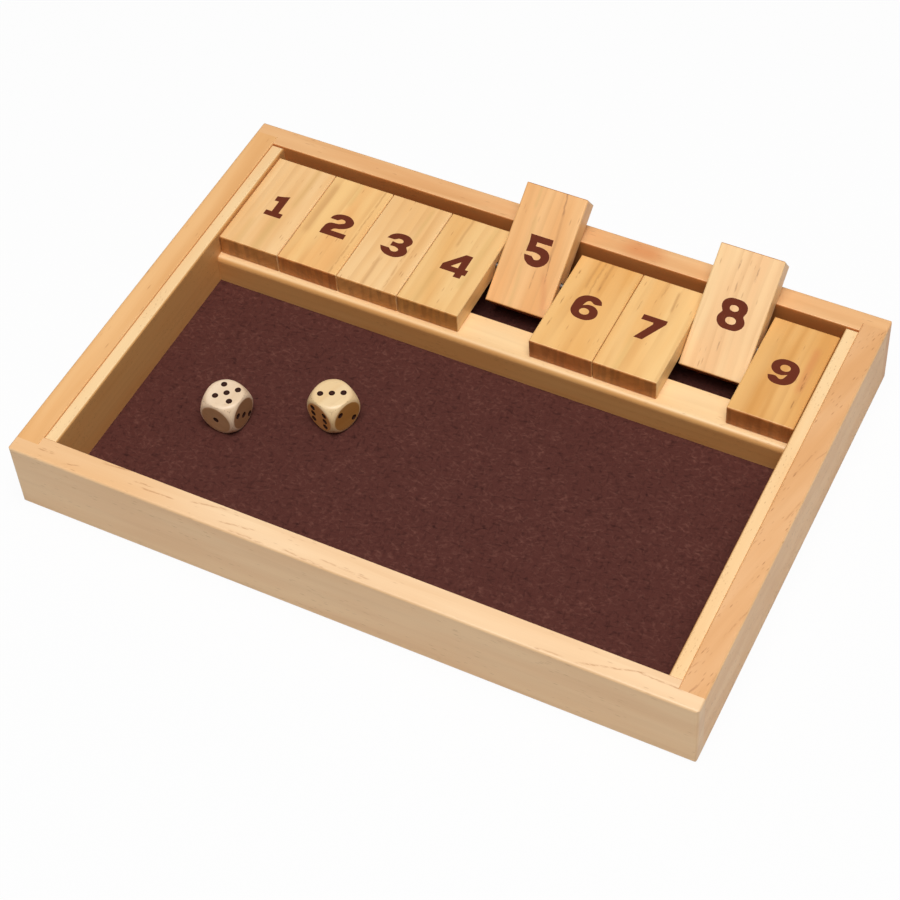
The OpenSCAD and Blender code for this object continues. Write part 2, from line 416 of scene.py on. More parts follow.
@dataclass(frozen=True)
class Wood:
    """A lacquered light wood: its colours in sRGB and its figure in millimetres.

    Its side shading, painted light or shade for how the light falls, multiplies the faces
    across the grain, and its end tone the ends.
    """

    pale: Colour
    deep: Colour
    heart: tuple[float, float]
    flecks: float
    late: Colour = (196, 138, 76)
    fleck_tone: Colour = (150, 92, 44)
    # Painted light or shade on the faces across the grain: above 255 lightens them, below darkens
    # them.
    side_painted_shading: Colour = (255, 255, 255)
    both_sides: bool = True
    end_tone: Colour = END_TONE
    end_lines: float = 0.3
    end_line_tone: Colour = (120, 62, 22)
    ring: float = 3.6
    ring_depth: float = 0.25
    wander: float = 2.6
    fibre: float = 0.07
    fleck_depth: float = 0.45
    fleck_size: tuple[float, float] = (1.3, 7.0)
    roughness: float = 0.46
    coat: float = 0.12
    coat_roughness: float = 0.3
    relief: float = 0.05 * MM

    def material(
        self, name: str, grain: Grain, seed: int, streaks: Sequence[Streak] = ()
    ) -> bpy.types.Material:
        """Makes the wood of one piece.

        Args:
            name: The material's name.
            grain: How the piece was cut.
            seed: A number that moves the figure, so that no two pieces are alike.
            streaks: Streaks that this piece has of its own.

        Returns:
            The material.
        """
        made, board = new_material(name)
        place = grain.place(board)
        across, along, deep = board.split(place)
        at = board.moved(place, seed)
        band = self._rings(board, across, deep, at)
        fibre = board.noise(at, FIBRE, 3.0)
        wash = board.noise(at, WASH).rise(0.3, 0.7)
        fleck = self._flecks(board, at)

        colour = board.mix(wash, linear(self.pale), linear(self.deep))
        colour = board.mix(band * self.ring_depth, colour, linear(self.late))
        sides = grain.looks(board, ACROSS, self.both_sides)
        for streak in streaks:
            share = streak.mask(board, across, along, at) * (1 - sides)
            colour = board.mix(share, colour, linear(streak.tone))
        shade = 1 - (fibre - 0.5) * self.fibre
        colour = self._shaded(board, colour, shade)
        colour = board.mix(fleck * self.fleck_depth, colour, linear(self.fleck_tone))
        # Paints light or shade on the faces across the grain, for how the light falls on them.
        colour = board.mix(sides, colour, linear(self.side_painted_shading), "MULTIPLY")
        ends = grain.looks(board, LENGTHWISE)
        colour = board.mix(ends, colour, linear(self.end_tone), "MULTIPLY")
        lines = board.noise(at, END_LINE, 2.5).rise(0.44, 0.62)
        colour = board.mix(ends * lines * self.end_lines, colour, linear(self.end_line_tone))

        height = fibre * 0.35 - fleck * 0.65 - band * 0.1
        board.surface({
            "Base Color": colour,
            "Roughness": self.roughness + (fibre - 0.5) * 0.12 + fleck * 0.15,
            "Coat Weight": self.coat,
            "Coat Roughness": self.coat_roughness,
            "Normal": board.bump(height, self.relief),
        })
        return made

    @staticmethod
    def _shaded(board: Board, colour: Reading, shade: Reading) -> Reading:
        """Multiplies a colour by a brightness."""
        grey = board.node("ShaderNodeCombineXYZ", inputs={0: shade, 1: shade, 2: shade})
        return board.mix(1.0, colour, grey, "MULTIPLY")

    def _rings(self, board: Board, across: Reading, deep: Reading, at: Reading) -> Reading:
        """Gives the late wood of the growth rings, which lie round the heart of the log.

        Args:
            board: The board that the nodes go on.
            across: Distance across the board.
            deep: Distance down into the board.
            at: The board's coordinates, moved by its seed.

        Returns:
            A value from 0 to 1.
        """
        bend = (board.noise(at, RING_BEND, 1.5) - 0.5) * (2 * self.wander)
        side = across - self.heart[0] + bend
        down = deep - self.heart[1]
        distance = (side * side + down * down) ** 0.5
        phase = (distance / self.ring).part()
        line = phase.rise(0.25, 0.9) * phase.rise(1.0, 0.9)
        strength = board.noise(at, RING_STRENGTH, 1.0).rise(0.3, 0.7)
        return line * (0.25 + 0.75 * strength)

    def _flecks(self, board: Board, at: Reading) -> Reading:
        """Gives the short dark pores, which lie along the grain and crowd together in places.

        Args:
            board: The board that the nodes go on.
            at: The board's coordinates, moved by its seed.

        Returns:
            A value from 0 to 1.
        """
        wide, long = self.fleck_size
        cells = {"Vector": board.vector("DIVIDE", at, (wide, long, wide)), "Scale": 1.0}
        near = board.node("ShaderNodeTexVoronoi", inputs=cells, output="Distance")
        hue = Reading(board, near.socket.node.outputs["Color"])
        chosen, size, _ = board.split(hue)
        crowd = board.noise(at, PORE_CROWD, 1.0).rise(0.4, 0.66)
        shown = (chosen - 1 + crowd * self.flecks).rise(0.0, 0.02)
        return near.rise(0.34, 0.08) * shown * (0.4 + 0.6 * size)


@dataclass(frozen=True)
class FeltCloth:
    """Pressed wool felt: a matted mass of short fibres, with painted shade behind the ledge.

    The ledge's place is in metres, and the sizes of the figure are in millimetres.
    """

    ledge: float
    base: Colour = (83, 44, 38)
    light: Colour = (114, 71, 61)
    dark: Colour = (52, 23, 20)
    sheen_tone: Colour = (190, 140, 130)
    strand: Triple = (1.2, 3.2, 2.0)
    swirl: float = 6.0
    swirl_reach: float = 3.0
    cloud: float = 11.0
    grit: float = 0.5
    # How far behind the ledge the painted shade climbs in, in millimetres.
    painted_shade_reach: tuple[float, float] = (4.0, 9.0)
    relief: float = 0.16 * MM

    def material(self, name: str) -> bpy.types.Material:
        """Makes the felt, with fibres that lie every way.

        Args:
            name: The material's name.

        Returns:
            The material.
        """
        made, board = new_material(name)
        at = board.here()
        inputs = {"Vector": board.vector("DIVIDE", at, (self.swirl,) * 3), "Scale": 1.0}
        swirl = board.node("ShaderNodeTexNoise", inputs=inputs, output=1)
        reach = (self.swirl_reach, self.swirl_reach, 0.0)
        bent = board.vector("ADD", at, board.vector("MULTIPLY", swirl, reach))
        strands = self._layer(board, bent, 1.1) + self._layer(board, bent, 2.0)
        strands = strands + self._layer(board, bent, 0.2) * 0.6
        hollows = self._layer(board, bent, 1.4) + self._layer(board, bent, 2.9) * 0.7
        cloud = board.noise(at, (self.cloud,) * 3).rise(0.3, 0.7)
        grit = board.noise(at, (self.grit,) * 3, 1.0)
        colour = board.mix(strands * (0.14 + 0.34 * cloud), linear(self.base), linear(self.light))
        colour = board.mix(hollows * (0.7 - 0.35 * cloud), colour, linear(self.dark))
        colour = board.mix(grit.rise(0.55, 0.8) * 0.3, colour, linear(self.dark))
        _, back, _ = board.split(at)
        # Painted shade: the felt behind the ledge, in the well under the tiles, is darkened.
        painted_shade_behind = (back - self.ledge * PER_MM).rise(*self.painted_shade_reach)
        colour = board.mix(painted_shade_behind * 0.25, colour, linear(self.dark))
        height = strands * 0.5 + grit * 0.5
        board.surface({
            "Base Color": colour,
            "Roughness": 0.95,
            "Specular IOR Level": 0.15,
            "Sheen Weight": 0.12,
            "Sheen Roughness": 0.6,
            "Sheen Tint": linear(self.sheen_tone),
            "Normal": board.bump(height, self.relief),
        })
        return made

    def _layer(self, board: Board, at: Reading, turn: float) -> Reading:
        """Gives one layer of fibres that lie about one way.

        Args:
            board: The board that the nodes go on.
            at: Where the fibres are read, in millimetres.
            turn: The way that they lie, in radians. It moves them too, so no two layers match.

        Returns:
            1 on a fibre and 0 beside it.
        """
        aside = (turn * 31.0, turn * 17.0, 0.0)
        inputs = {"Vector": at, "Rotation": (0.0, 0.0, turn), "Location": aside}
        along = board.node("ShaderNodeMapping", {"vector_type": "POINT"}, inputs)
        return board.noise(along, self.strand, 1.5).rise(0.52, 0.76)


@dataclass(frozen=True)
class Steel:
    """Dull drawn steel wire, with fine lines along it. Their sizes are in millimetres."""

    tone: Colour = (124, 120, 117)
    smudged: Colour = (90, 84, 80)
    line: Triple = (30.0, 0.12, 0.12)
    smudge: Triple = (9.0, 2.0, 2.0)
    relief: float = 0.01 * MM

    def material(self, name: str) -> bpy.types.Material:
        """Makes the drawn steel.

        Args:
            name: The material's name.

        Returns:
            The material.
        """
        made, board = new_material(name)
        at = board.here()
        lines = board.noise(at, self.line, 3.0)
        smudge = board.noise(at, self.smudge)
        board.surface({
            "Base Color": board.mix(smudge * 0.3, linear(self.tone), linear(self.smudged)),
            "Metallic": 1.0,
            "Roughness": 0.4 + lines * 0.12 + smudge * 0.1,
            "Normal": board.bump(lines, self.relief),
        })
        return made


@dataclass(frozen=True)
class Print:
    """Dark print burnt a little into the wood, through which the fibres show."""

    tone: Colour = (104, 43, 22)
    faded: Colour = (132, 67, 36)
    fibre: Triple = (0.5, 9.0, 0.5)
    cloud: Triple = (3.0, 3.0, 3.0)
    relief: float = 0.03 * MM

    def material(self, name: str, grain: Grain, seed: int) -> bpy.types.Material:
        """Makes the print on one tile.

        Args:
            name: The material's name.
            grain: How the tile below it was cut.
            seed: The tile's seed.

        Returns:
            The material.
        """
        made, board = new_material(name)
        at = board.moved(grain.place(board), seed)
        fibre = board.noise(at, self.fibre, 3.0)
        cloud = board.noise(at, self.cloud)
        worn = fibre.rise(0.52, 0.8) * cloud.rise(0.4, 0.7)
        board.surface({
            "Base Color": board.mix(worn * 0.7, linear(self.tone), linear(self.faded)),
            "Roughness": 0.7 + fibre * 0.15,
            "Specular IOR Level": 0.2,
            "Normal": board.bump(fibre, self.relief),
        })
        return made


def pick_none() -> None:
    """Deselects everything, since loading leaves the frame selected."""
    bpy.ops.object.select_all(action="DESELECT")


def pick(*pieces: bpy.types.Object) -> None:
    """Selects some objects alone.

    Args:
        pieces: The objects. The first one becomes the active one.
    """
    pick_none()
    for piece in pieces:
        piece.select_set(True)
    bpy.context.view_layer.objects.active = pieces[0]


def settle(piece: bpy.types.Object) -> None:
    """Moves a piece's place, turn and size into its mesh."""
    pick(piece)
    bpy.ops.object.transform_apply(location=True, rotation=True, scale=True)


def carry(piece: bpy.types.Object, where: Matrix) -> None:
    """Moves a piece by a matrix, and writes the move into its mesh."""
    piece.matrix_world = where @ piece.matrix_world
    settle(piece)


def finish_with(piece: bpy.types.Object, kind: str, **settings: Any) -> None:
    """Adds a modifier to a piece, sets it and applies it.

    Args:
        piece: The piece that is finished.
        kind: The modifier's type.
        settings: The modifier's settings.
    """
    pick(piece)
    modifier = piece.modifiers.new(kind.title(), kind)
    for name, value in settings.items():
        setattr(modifier, name, value)
    bpy.ops.object.modifier_apply(modifier=modifier.name)


def repeat(model: bpy.types.Object, where: Matrix) -> bpy.types.Object:
    """Copies a model with a mesh of its own.

    Args:
        model: The object that is copied.
        where: The matrix that moves the copy's mesh.

    Returns:
        The copy.
    """
    made = model.copy()
    made.data = model.data.copy()
    made.data.transform(where)
    bpy.context.scene.collection.objects.link(made)
    return made


def heal(piece: bpy.types.Object, reach: float) -> None:
    """Closes a piece's seams and turns every face outwards.

    Args:
        piece: The piece.
        reach: How far apart points may lie that are merged.
    """
    pick(piece)
    bpy.ops.object.mode_set(mode="EDIT")
    bpy.ops.mesh.select_all(action="SELECT")
    bpy.ops.mesh.remove_doubles(threshold=reach)
    bpy.ops.mesh.normals_make_consistent(inside=False)
    bpy.ops.object.mode_set(mode="OBJECT")


def smooth(piece: bpy.types.Object, crease: float) -> None:
    """Shades a piece smooth, except over edges sharper than the crease, in degrees."""
    pick(piece)
    bpy.ops.object.shade_smooth_by_angle(angle=math.radians(crease))


def dress(node: str, material: bpy.types.Material) -> None:
    """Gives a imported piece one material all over.

    Args:
        node: The piece's name.
        material: The material.
    """
    for slot in frame["nodes"][node].material_slots:
        slot.material = material
    log.info("%s dressed with %s", node, material.name)


@dataclass
class Studio:
    """The plain room: a pale floor, a soft lamp, a dim sky and the camera.

    The floor's white is the share of plain white in what the camera sees of it, and the rest
    keeps the shadow.
    """

    floor_side: float = 8.0
    floor_drop: float = 0.0003
    floor_tone: Colour = (224, 224, 224)
    floor_white: float = 0.94
    sky: float = 0.18
    lamp_place: Triple = (0.24, -0.3, 1.6)
    lamp_side: float = 1.1
    lamp_power: float = 27.0
    eye: Triple = (0.29192, -0.5127, 0.71623)
    eye_turn: Triple = (41.476, 2.292, 26.085)
    lens: float = 91.49
    sensor: float = 36.0
    shift: tuple[float, float] = (-0.035, -0.11)

    def build(self) -> None:
        """Makes the camera first, then the room."""
        self._camera()
        self._world()
        self._lamp()
        self._floor()
        bpy.context.scene.view_settings.view_transform = "Standard"
        log.info("studio built")

    def _camera(self) -> None:
        """Puts the camera at the photograph's angle."""
        data = bpy.data.cameras.new("camera")
        data.sensor_width = self.sensor
        data.lens = self.lens
        data.shift_x, data.shift_y = self.shift
        camera = bpy.data.objects.new("camera", data)
        camera.location = self.eye
        camera.rotation_euler = [math.radians(a) for a in self.eye_turn]
        bpy.context.scene.collection.objects.link(camera)
        bpy.context.scene.camera = camera

    def _world(self) -> None:
        """Makes a dim sky that the camera sees as plain white."""
        world = bpy.data.worlds.new("world")
        world.use_nodes = True
        bpy.context.scene.world = world
        board = Board(world.node_tree)
        seen = self._ray(board, "Is Camera Ray")
        dim, white = (
            board.node("ShaderNodeBackground", inputs={"Color": WHITE, "Strength": strength})
            for strength in (self.sky, 1.0)
        )
        both = board.node("ShaderNodeMixShader", inputs={0: seen, 1: dim, 2: white})
        board.node("ShaderNodeOutputWorld", inputs={"Surface": both})

    @staticmethod
    def _ray(board: Board, kind: str) -> Reading:
        """Gives 1 for rays of one kind."""
        return board.node("ShaderNodeLightPath", output=kind)

    def _lamp(self) -> None:
        """Hangs one large soft lamp above the game, a little towards the front."""
        data = bpy.data.lights.new("lamp", "AREA")
        data.shape = "SQUARE"
        data.size = self.lamp_side
        data.energy = self.lamp_power
        lamp = bpy.data.objects.new("lamp", data)
        lamp.location = self.lamp_place
        lamp.rotation_euler = (-Vector(self.lamp_place)).to_track_quat("-Z", "Y").to_euler()
        bpy.context.scene.collection.objects.link(lamp)

    def _floor(self) -> None:
        """Lays a pale floor that keeps the shadow."""
        pick_none()
        bpy.ops.mesh.primitive_plane_add(size=self.floor_side, location=(0, 0, -self.floor_drop))
        floor = bpy.context.object
        floor.name = "floor"
        made, board = new_material("floor_paint")
        paint = board.node("ShaderNodeBsdfDiffuse", inputs={"Color": linear(self.floor_tone)})
        white = board.node("ShaderNodeEmission", inputs={"Color": WHITE, "Strength": 1.0})
        share = self._ray(board, "Is Camera Ray") * self.floor_white
        both = board.node("ShaderNodeMixShader", inputs={0: share, 1: paint, 2: white})
        board.node("ShaderNodeOutputMaterial", inputs={"Surface": both})
        floor.data.materials.append(made)


GREYED: Colour = (186, 128, 82)


@dataclass(frozen=True)
class Cut:
    """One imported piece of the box: its wood, how its grain runs, its seed and its streaks."""

    node: str
    wood: Wood
    run: Along
    seed: int
    streaks: Sequence[Streak] = ()
    heading: float = 0.0


@dataclass
class Box:
    """The wooden box: four rails, two strips, the ledge and the base panel.

    Streaks are placed from the lowest corner of each piece. Those of the right rail and its
    whole grain run aslant, by the heading.
    """

    # Side shading is painted: shade on the front rail's faces, the back rail's inner face, the
    # ledge's faces and the strips' sides, and light on the right rail's sides.
    front: Wood = Wood(
        pale=(250, 214, 170), deep=(245, 204, 158), ring_depth=0.1, ring=5.0,
        side_painted_shading=(243, 238, 229), end_tone=(246, 240, 232), end_lines=0.05,
        heart=(-60.0, -20.0), flecks=0.35, fleck_size=(0.9, 5.0), fleck_depth=0.35,
    )
    back: Wood = Wood(
        pale=(242, 190, 134), deep=(232, 172, 114), ring_depth=0.18, ring=4.4,
        side_painted_shading=(222, 186, 146), both_sides=False, end_tone=(246, 240, 232), end_lines=0.05,
        heart=(-60.0, -26.0), flecks=0.6, fleck_size=(1.0, 6.0), fleck_depth=0.4,
    )
    left: Wood = Wood(
        pale=(243, 190, 129), deep=(236, 177, 113), ring_depth=0.15, ring=4.0,
        heart=(-30.0, -40.0), flecks=0.25,
    )
    right: Wood = Wood(
        pale=(235, 182, 129), deep=(227, 169, 112), ring_depth=0.08, ring=4.0,
        side_painted_shading=(265, 278, 286), heart=(60.0, -40.0), flecks=1.4, fleck_size=(0.9, 4.5),
        fleck_depth=0.6,
    )
    pale_strip: Wood = Wood(
        pale=(250, 213, 160), deep=(246, 202, 146), ring_depth=0.12, ring=3.0,
        side_painted_shading=(228, 202, 166), heart=(-20.0, -20.0), flecks=0.6, fleck_size=(0.9, 4.0),
        fleck_depth=0.3,
    )
    rough_strip: Wood = replace(pale_strip, flecks=1.5, fleck_size=(0.8, 2.2), fleck_depth=0.4)
    sheet_wood: Wood = Wood(
        pale=(226, 192, 146), deep=(214, 176, 128), ring_depth=0.22, ring=9.0,
        heart=(-40.0, -60.0), flecks=0.12, fleck_depth=0.25, roughness=0.6,
    )

    front_veins: Sequence[Streak] = (
        Streak(5.0, 60.0, 0.62, -80.0, 38.0, sway=0.0, tone=(236, 178, 116)),
        *veins(
            GREYED, 0.5,
            (-4.3, 0.6, 0.6, 13, 17, -0.04),
            (3.9, 0.5, 0.6, 26, 29, -0.25),
            (-6.0, 0.7, 0.6, 40, 49, -0.08),
            (-2.4, 0.6, 0.6, 56, 61, -0.07),
            (-3.5, 0.6, 0.6, 60, 71, -0.02),
            (5.8, 0.6, 0.5, 81, 93, -0.16),
            (5.2, 0.6, 0.5, 95, 107, -0.09),
            (-1.9, 0.6, 0.4, 100, 113, 0.01),
            (-8.9, 0.6, 0.5, 124, 139, 0.06),
            (-7.5, 0.6, 0.4, 139, 157, 0.03),
            (10.3, 0.6, 0.4, 228, 236, -0.05),
            (61.7, 0.6, 0.6, 244, 265, -0.26),
            (-17.5, 0.6, 0.6, 265, 280, 0.04),
            bend=5.0,
        ),
    )
    back_veins: Sequence[Streak] = (
        Streak(-5.5, 9.0, 0.75, 181, 186, sway=0.0, tone=(222, 142, 84)),
    )
    right_veins: Sequence[Streak] = veins(
        GREYED, 0.3,
        (-12.7, 0.5, 0.5, 85, 98),
        (-22.1, 0.5, 0.5, 105, 117),
        (-40.5, 0.5, 0.5, 116, 123, 0.18),
        (-0.4, 0.5, 0.5, 29, 44, 0.01),
        (3.8, 0.7, 0.7, 1, 5, 0.13),
        (-4.2, 0.5, 0.5, 9, 12, 0.25),
        (7.9, 0.5, 0.4, 10, 13, -0.04),
        bend=4.0,
    )
    right_heading: float = -13.5

    def build(self) -> None:
        """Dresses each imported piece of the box."""
        wide, deep = Along.WIDTH, Along.DEPTH
        for cut in (
            Cut("front_rail", self.front, wide, 3, self.front_veins),
            Cut("back_rail", self.back, wide, 8, self.back_veins),
            Cut("left_rail", self.left, deep, 5),
            Cut("right_rail", self.right, deep, 11, self.right_veins, self.right_heading),
            Cut("left_strip", self.rough_strip, deep, 2),
            Cut("right_strip", self.rough_strip, deep, 7),
            Cut("ledge", self.pale_strip, wide, 4),
            Cut("base_panel", self.sheet_wood, wide, 9),
        ):
            grain = Grain(cut.run, corner=tuple(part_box(cut.node)[0]), heading=cut.heading)
            dress(cut.node, cut.wood.material(f"{cut.node}_wood", grain, cut.seed, cut.streaks))


@dataclass
class Felt:
    """The felt on the floor of the tray and of the well."""

    cell: float = 1.6 * MM
    nap: float = 0.12 * MM
    lump: float = 3.0 * MM
    octaves: int = 2
    crease: float = 40.0
    cloth: FeltCloth = FeltCloth(ledge=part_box("ledge")[0].y)

    def build(self) -> None:
        """Lays the felt sheet, a little uneven on top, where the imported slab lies."""
        low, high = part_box("felt")
        size, middle = high - low, (high + low) / 2
        pick_none()
        bpy.ops.mesh.primitive_grid_add(
            x_subdivisions=round(size.x / self.cell),
            y_subdivisions=round(size.y / self.cell),
            size=1.0,
            location=(middle.x, middle.y, high.z),
            scale=(1.0, 1.0, 1.0),
        )
        felt = bpy.context.object
        felt.name = "felt_sheet"
        felt.scale = (size.x, size.y, 1.0)
        settle(felt)
        clouds = bpy.data.textures.new("felt_lumps", "CLOUDS")
        clouds.noise_scale = self.lump
        clouds.noise_depth = self.octaves
        finish_with(felt, "DISPLACE", texture=clouds, strength=self.nap, mid_level=1.0)
        finish_with(felt, "SOLIDIFY", thickness=size.z, offset=-1.0)
        smooth(felt, self.crease)
        felt.data.materials.append(self.cloth.material("felt_cloth"))
        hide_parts("felt")
        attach(felt, "box")
        log.info("felt laid, %.1f by %.1f mm", size.x * PER_MM, size.y * PER_MM)


class Bend(Enum):
    """How an outline passes through one of its points."""

    SHARP = "VECTOR"
    ROUND = "AUTO"


SHARP, ROUND = Bend.SHARP, Bend.ROUND
Point = tuple[float, float, Bend]
Outline = Sequence[Point]


def turned(outlines: Sequence[Outline], lift: float) -> Sequence[Outline]:
    """Turns a numeral's outlines by half a turn and lifts them."""
    return [[(-x, lift - y, bend) for x, y, bend in outline] for outline in outlines]


ONE = [[
    (-2.9, 2.1, SHARP), (-2.9, 4.9, SHARP), (-1.0, 5.3, ROUND), (2.5, 6.5, SHARP),
    (2.5, -4.0, SHARP), (4.6, -4.0, SHARP), (4.6, -6.7, SHARP), (-3.5, -6.7, SHARP),
    (-3.5, -4.0, SHARP), (-0.8, -4.0, SHARP), (-0.8, 2.2, SHARP),
]]
TWO = [[
    (-4.0, 2.5, SHARP), (-3.2, 4.6, ROUND), (1.2, 6.5, ROUND), (5.6, 5.1, ROUND),
    (7.0, 2.7, ROUND), (5.8, 0.0, ROUND), (2.9, -1.7, ROUND), (0.4, -2.5, ROUND),
    (-0.5, -3.8, SHARP), (6.9, -3.8, SHARP), (7.0, -6.7, SHARP), (-4.4, -6.7, SHARP),
    (-4.5, -4.3, SHARP), (-3.4, -0.4, ROUND), (1.8, 1.1, ROUND), (3.2, 2.5, ROUND),
    (1.4, 3.7, ROUND), (-0.5, 2.5, SHARP),
]]
THREE = [[
    (-4.7, 2.2, SHARP), (-3.3, 4.9, ROUND), (0.9, 6.5, ROUND), (5.3, 5.3, ROUND),
    (6.7, 2.9, ROUND), (5.4, 0.1, SHARP), (7.0, -2.9, ROUND), (5.1, -6.0, ROUND),
    (1.0, -7.1, ROUND), (-3.6, -5.4, ROUND), (-5.4, -2.8, SHARP), (-1.4, -2.8, SHARP),
    (1.0, -4.2, ROUND), (2.9, -2.8, ROUND), (1.2, -1.5, ROUND), (-1.5, -1.5, SHARP),
    (-1.5, 1.1, SHARP), (1.7, 1.1, ROUND), (2.9, 2.2, ROUND), (1.0, 3.5, ROUND),
    (-1.3, 2.3, SHARP),
]]
FOUR = [
    [
        (2.4, -7.0, SHARP), (5.6, -7.0, SHARP), (5.6, -4.8, SHARP), (7.0, -4.8, SHARP),
        (7.0, -1.6, SHARP), (5.5, -1.6, SHARP), (5.5, 6.3, SHARP), (2.3, 6.3, SHARP),
        (-4.8, -1.6, SHARP), (-4.8, -4.8, SHARP), (2.4, -4.8, SHARP),
    ],
    [(-1.0, -1.9, SHARP), (2.3, -1.9, SHARP), (2.2, 1.8, SHARP)],
]
FIVE = [[
    (-4.5, 5.9, SHARP), (5.7, 5.9, SHARP), (5.8, 3.2, SHARP), (-0.7, 3.1, SHARP),
    (-0.8, 1.4, SHARP), (2.4, 1.4, ROUND), (5.5, 0.1, ROUND), (6.5, -2.7, ROUND),
    (4.8, -5.7, ROUND), (0.9, -7.1, ROUND), (-3.2, -5.6, ROUND), (-4.5, -3.0, SHARP),
    (-1.1, -3.0, SHARP), (0.9, -4.2, ROUND), (2.8, -2.6, ROUND), (1.2, -1.5, ROUND),
    (-4.2, -1.6, SHARP), (-4.1, 3.5, ROUND),
]]
SIX = [
    [
        (5.5, 2.9, SHARP), (4.3, 5.1, ROUND), (0.4, 6.4, ROUND), (-4.4, 4.5, ROUND),
        (-5.8, -0.2, ROUND), (-4.7, -5.1, ROUND), (0.0, -7.1, ROUND), (4.5, -5.7, ROUND),
        (5.8, -2.7, ROUND), (4.3, 0.4, ROUND), (0.8, 1.4, ROUND), (-1.9, 0.3, SHARP),
        (-0.1, 3.4, ROUND), (2.6, 2.4, ROUND),
    ],
    [(0.1, -0.9, ROUND), (2.2, -2.7, ROUND), (0.1, -4.4, ROUND), (-2.0, -2.7, ROUND)],
]
SEVEN = [[
    (-5.2, 5.9, SHARP), (5.2, 5.9, SHARP), (5.2, 3.9, SHARP), (-0.7, -7.1, SHARP),
    (-4.4, -7.1, SHARP), (0.2, 2.0, SHARP), (0.1, 3.0, SHARP), (-5.3, 3.0, SHARP),
]]
EIGHT = [
    [
        (0.6, 6.0, ROUND), (4.7, 5.0, ROUND), (5.9, 2.6, ROUND), (5.1, -0.3, SHARP),
        (6.5, -3.1, ROUND), (5.0, -5.9, ROUND), (0.6, -7.0, ROUND), (-3.9, -5.9, ROUND),
        (-5.2, -3.1, ROUND), (-3.9, -0.3, SHARP), (-5.0, 2.6, ROUND), (-3.7, 5.0, ROUND),
    ],
    [(0.4, 3.3, ROUND), (2.3, 2.0, ROUND), (0.4, 0.7, ROUND), (-1.5, 2.0, ROUND)],
    [(0.6, -1.7, ROUND), (2.9, -3.2, ROUND), (0.6, -4.7, ROUND), (-1.6, -3.2, ROUND)],
]
NINE = turned(SIX, -0.75)


@dataclass(frozen=True)
class TileLook:
    """What sets one tile apart: its numeral, its wood and the streaks in it."""

    numeral: Sequence[Outline]
    pale: Colour
    deep: Colour
    heart: tuple[float, float]
    streaks: Sequence[Streak]
    end: Colour = END_TONE

    def wood(self) -> Wood:
        """Gives the tile's wood."""
        return Wood(
            pale=self.pale, deep=self.deep, heart=self.heart, end_tone=self.end, flecks=0.22,
            # Painted light on both sides of each tile.
            fleck_size=(1.1, 6.0), side_painted_shading=(262, 272, 285),
        )


OLIVE: Colour = (206, 166, 98)
UMBER: Colour = (140, 84, 38)
RUSSET: Colour = (214, 134, 80)
HONEY: Colour = (206, 144, 72)

